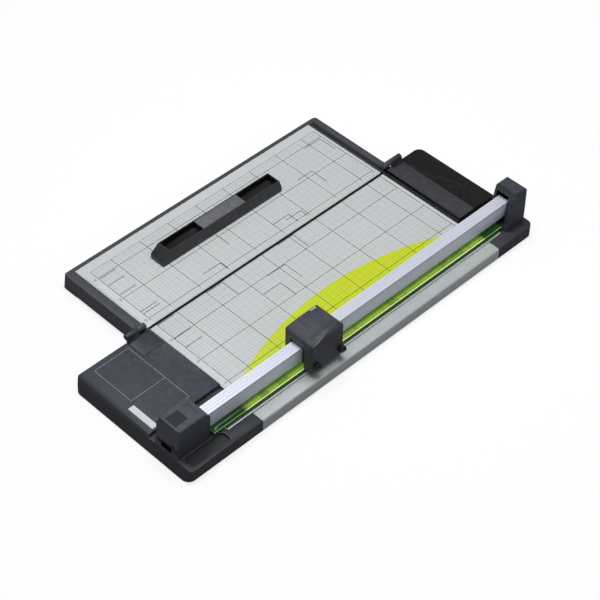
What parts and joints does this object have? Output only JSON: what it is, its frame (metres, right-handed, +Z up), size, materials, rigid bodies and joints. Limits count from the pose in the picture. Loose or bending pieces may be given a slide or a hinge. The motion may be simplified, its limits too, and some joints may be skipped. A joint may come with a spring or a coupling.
{
  "type": "rotary paper trimmer",
  "caption": "Sliding disc paper trimmer: cutting head on an aluminium rail over a light grey gridded table, with a folding side table and a paper guide",
  "frame": {"origin": "middle of the footprint, on the desk", "axes": "+Y along the rail from the near lock to the far post, +X from the folding table to the cutting side, +Z up"},
  "size_m": [0.3626, 0.6274, 0.08],
  "materials": {
    "graphite_plastic": "fine-grained dark grey moulding, slightly rubbed along the edges",
    "cover_plastic": "bluish dark grey moulding with a fine grain",
    "rear_gloss": "near-black moulding, band in fine grain and rear slope polished",
    "grid_sheet": "light grey sheet steel with a printed 50 mm grid and size marks, satin",
    "channel_alloy": "bare drawn aluminium",
    "mat_rubber": "black cutting mat with a faint scored line",
    "margin_plastic": "pale green-grey moulding",
    "housing_plastic": "dark blue-grey moulding with a fine grain",
    "pin_steel": "plain steel",
    "foot_rubber": "soft black rubber",
    "guide_plastic": "near-black moulding",
    "pad_plastic": "mid grey moulding",
    "magnet_plating": "nickel plating",
    "rail_alloy": "anodised aluminium with fine lengthwise grooves",
    "strip_tint": "clear yellow-green plastic, edges glowing",
    "pad_white": "slippery white plastic",
    "spring_steel": "drawn spring wire",
    "head_plastic": "dark grey moulding with a fine grain",
    "disc_steel": "ground and polished steel",
    "knob_plastic": "black moulding"
  },
  "bodies": {
    "base": {"base_tray": "graphite_plastic", "near_cover": "cover_plastic", "far_cover": "rear_gloss", "main_plate": "grid_sheet", "mat_channel": "channel_alloy", "cutting_mat": "mat_rubber", "edge_cover": "margin_plastic", "lock_housing": "housing_plastic", "rail_post": "housing_plastic", "rail_pivot_pin": "pin_steel", "near_hinge_leaf": "cover_plastic", "far_hinge_leaf": "graphite_plastic", "hinge_pins": "pin_steel", "base_feet": "foot_rubber", "base_screws": "pin_steel"},
    "side_table": {"fold_frame": "graphite_plastic", "fold_plate": "grid_sheet", "fold_knuckles": "graphite_plastic", "fold_feet": "foot_rubber"},
    "paper_guide": {"guide_body": "guide_plastic", "guide_pad": "pad_plastic", "guide_magnets": "magnet_plating"},
    "rail_beam": {"rail": "rail_alloy", "rail_cap": "housing_plastic", "rail_end_block": "graphite_plastic", "clamp_strip": "strip_tint"},
    "lock": {"lock_slider": "guide_plastic"},
    "runner": {"carriage": "guide_plastic", "glide_pads": "pad_white", "press_springs": "spring_steel"},
    "head": {"head_shell": "head_plastic", "head_side_cover": "head_plastic", "blade_holder": "guide_plastic", "blade_axle": "pin_steel"},
    "disc": {"cutting_disc": "disc_steel", "disc_hub": "guide_plastic"},
    "near_knob": {"near_thumb_screw": "knob_plastic"},
    "far_knob": {"far_thumb_screw": "knob_plastic"}
  },
  "joints": [
    {"name": "table_fold", "type": "hinge", "parent": "base", "child": "side_table", "pos_m": [-0.03025, 0, 0.0312], "axis": [0, 1, 0], "range_deg": [0, 180]},
    {"name": "guide_slide", "type": "slide", "parent": "side_table", "child": "paper_guide", "axis": [1, 0, 0], "range_m": [-0.048, 0.06]},
    {"name": "rail_lift", "type": "hinge", "parent": "base", "child": "rail_beam", "pos_m": [0.145, 0.29825, 0.05], "axis": [-1, 0, 0], "range_deg": [0, 18]},
    {"name": "lock_slide", "type": "slide", "parent": "base", "child": "lock", "axis": [1, 0, 0], "range_m": [0, 0.006]},
    {"name": "head_slide", "type": "slide", "parent": "rail_beam", "child": "runner", "axis": [0, 1, 0], "range_m": [-0.148, 0.312]},
    {"name": "head_press", "type": "slide", "parent": "runner", "child": "head", "axis": [0, 0, -1], "range_m": [0, 0.0038], "stiffness_N_per_m": 800, "springref_m": -0.003, "deforming": ["press_springs"]},
    {"name": "disc_spin", "type": "hinge", "parent": "head", "child": "disc", "pos_m": [0.15595, -0.07175, 0.0395], "axis": [1, 0, 0], "continuous": true},
    {"name": "near_knob_turn", "type": "hinge", "parent": "head", "child": "near_knob", "pos_m": [0.17305, -0.09215, 0.037], "axis": [1, 0, 0], "range_deg": [0, 90]},
    {"name": "far_knob_turn", "type": "hinge", "parent": "head", "child": "far_knob", "pos_m": [0.17305, -0.04875, 0.037], "axis": [1, 0, 0], "range_deg": [0, 90]}
  ]
}
